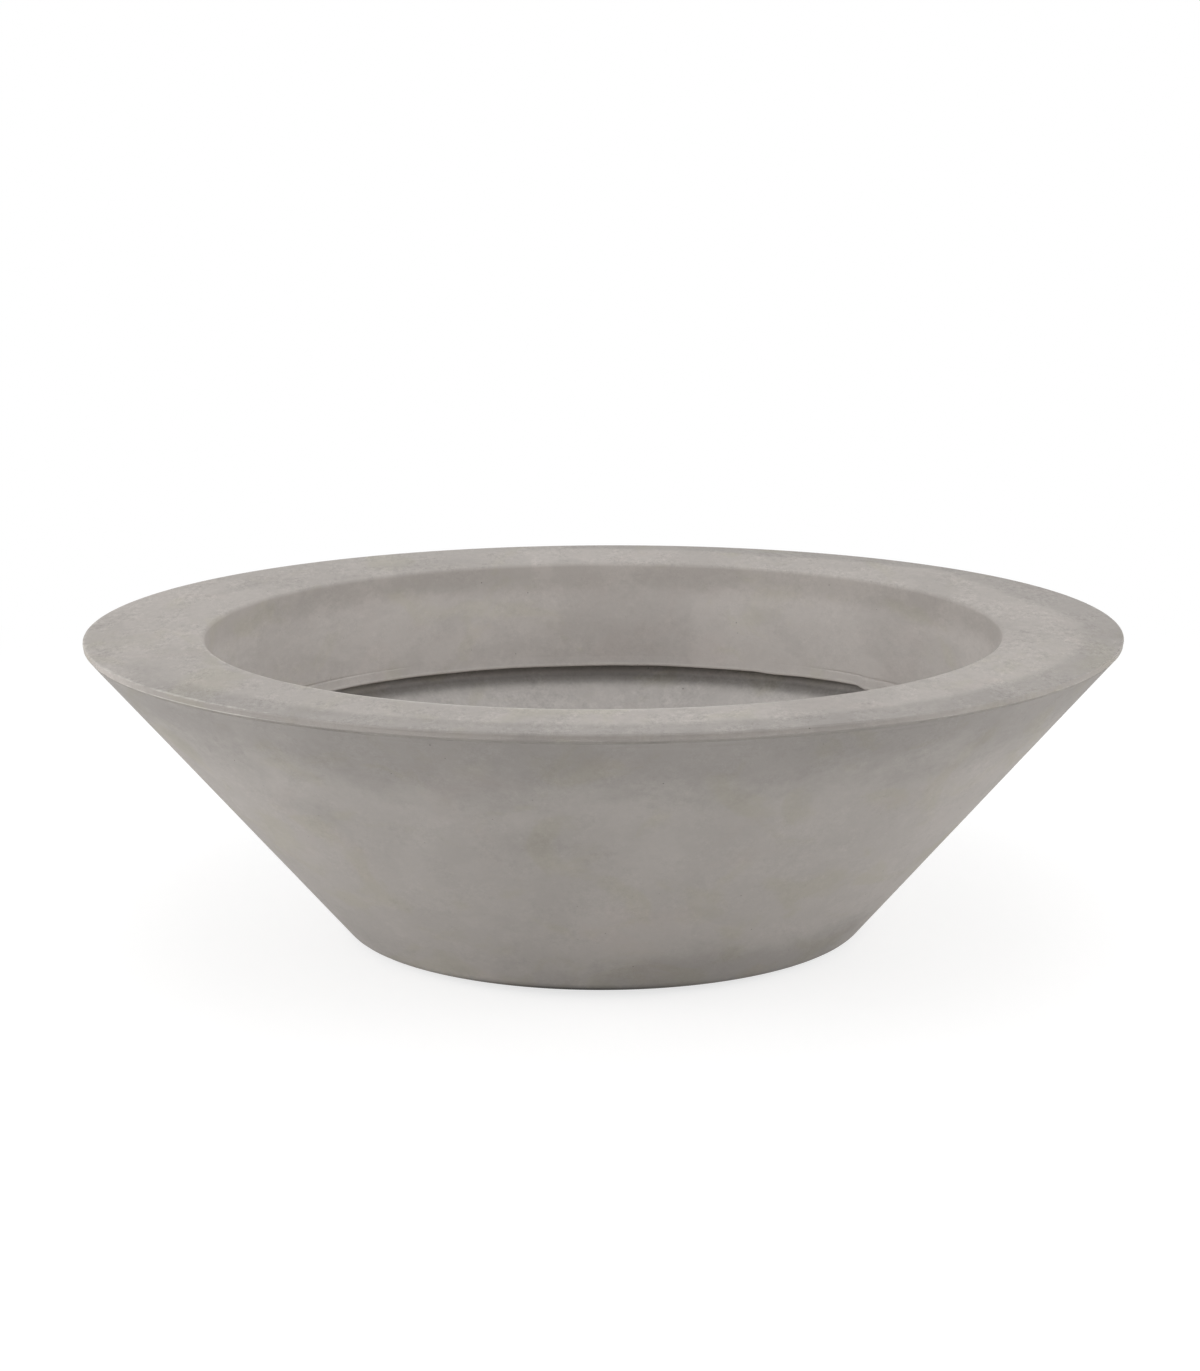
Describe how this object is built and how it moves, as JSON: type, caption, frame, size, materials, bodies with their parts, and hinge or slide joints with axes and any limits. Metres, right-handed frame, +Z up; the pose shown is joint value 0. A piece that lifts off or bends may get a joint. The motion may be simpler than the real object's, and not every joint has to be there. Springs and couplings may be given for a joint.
{
  "type": "bowl planter",
  "caption": "Low round concrete planter: conical bowl, wide flat rim with a turned-in inner skirt bonded on top, floor drain with a lift-out stopper, and rubber pads under the base.",
  "frame": {"origin": "on the ground under the middle of the bowl, at the lower face of the pads", "axes": "+Z up along the axis of the bowl; +X and +Y lie between the pads, which sit on the diagonals"},
  "size_m": [0.914, 0.914, 0.2743],
  "materials": {
    "concrete": "matte",
    "mortar": "matte",
    "reinforcing_steel": "satin",
    "black_plastic": "satin",
    "black_rubber": "matte",
    "grey_rubber": "matte"
  },
  "bodies": {
    "planter": {"bowl_shell": "concrete", "rim_ring": "concrete", "bond_mortar": "mortar", "rim_hoop": "reinforcing_steel", "drain_sleeve": "black_plastic", "drain_seal": "black_rubber", "foot_1": "black_rubber", "foot_2": "black_rubber", "foot_3": "black_rubber", "foot_4": "black_rubber"},
    "plug": {"drain_plug": "grey_rubber"}
  },
  "joints": [
    {"name": "plug_lift", "type": "slide", "parent": "planter", "child": "plug", "axis": [0, 0, 1], "range_m": [0, 0.06]}
  ]
}
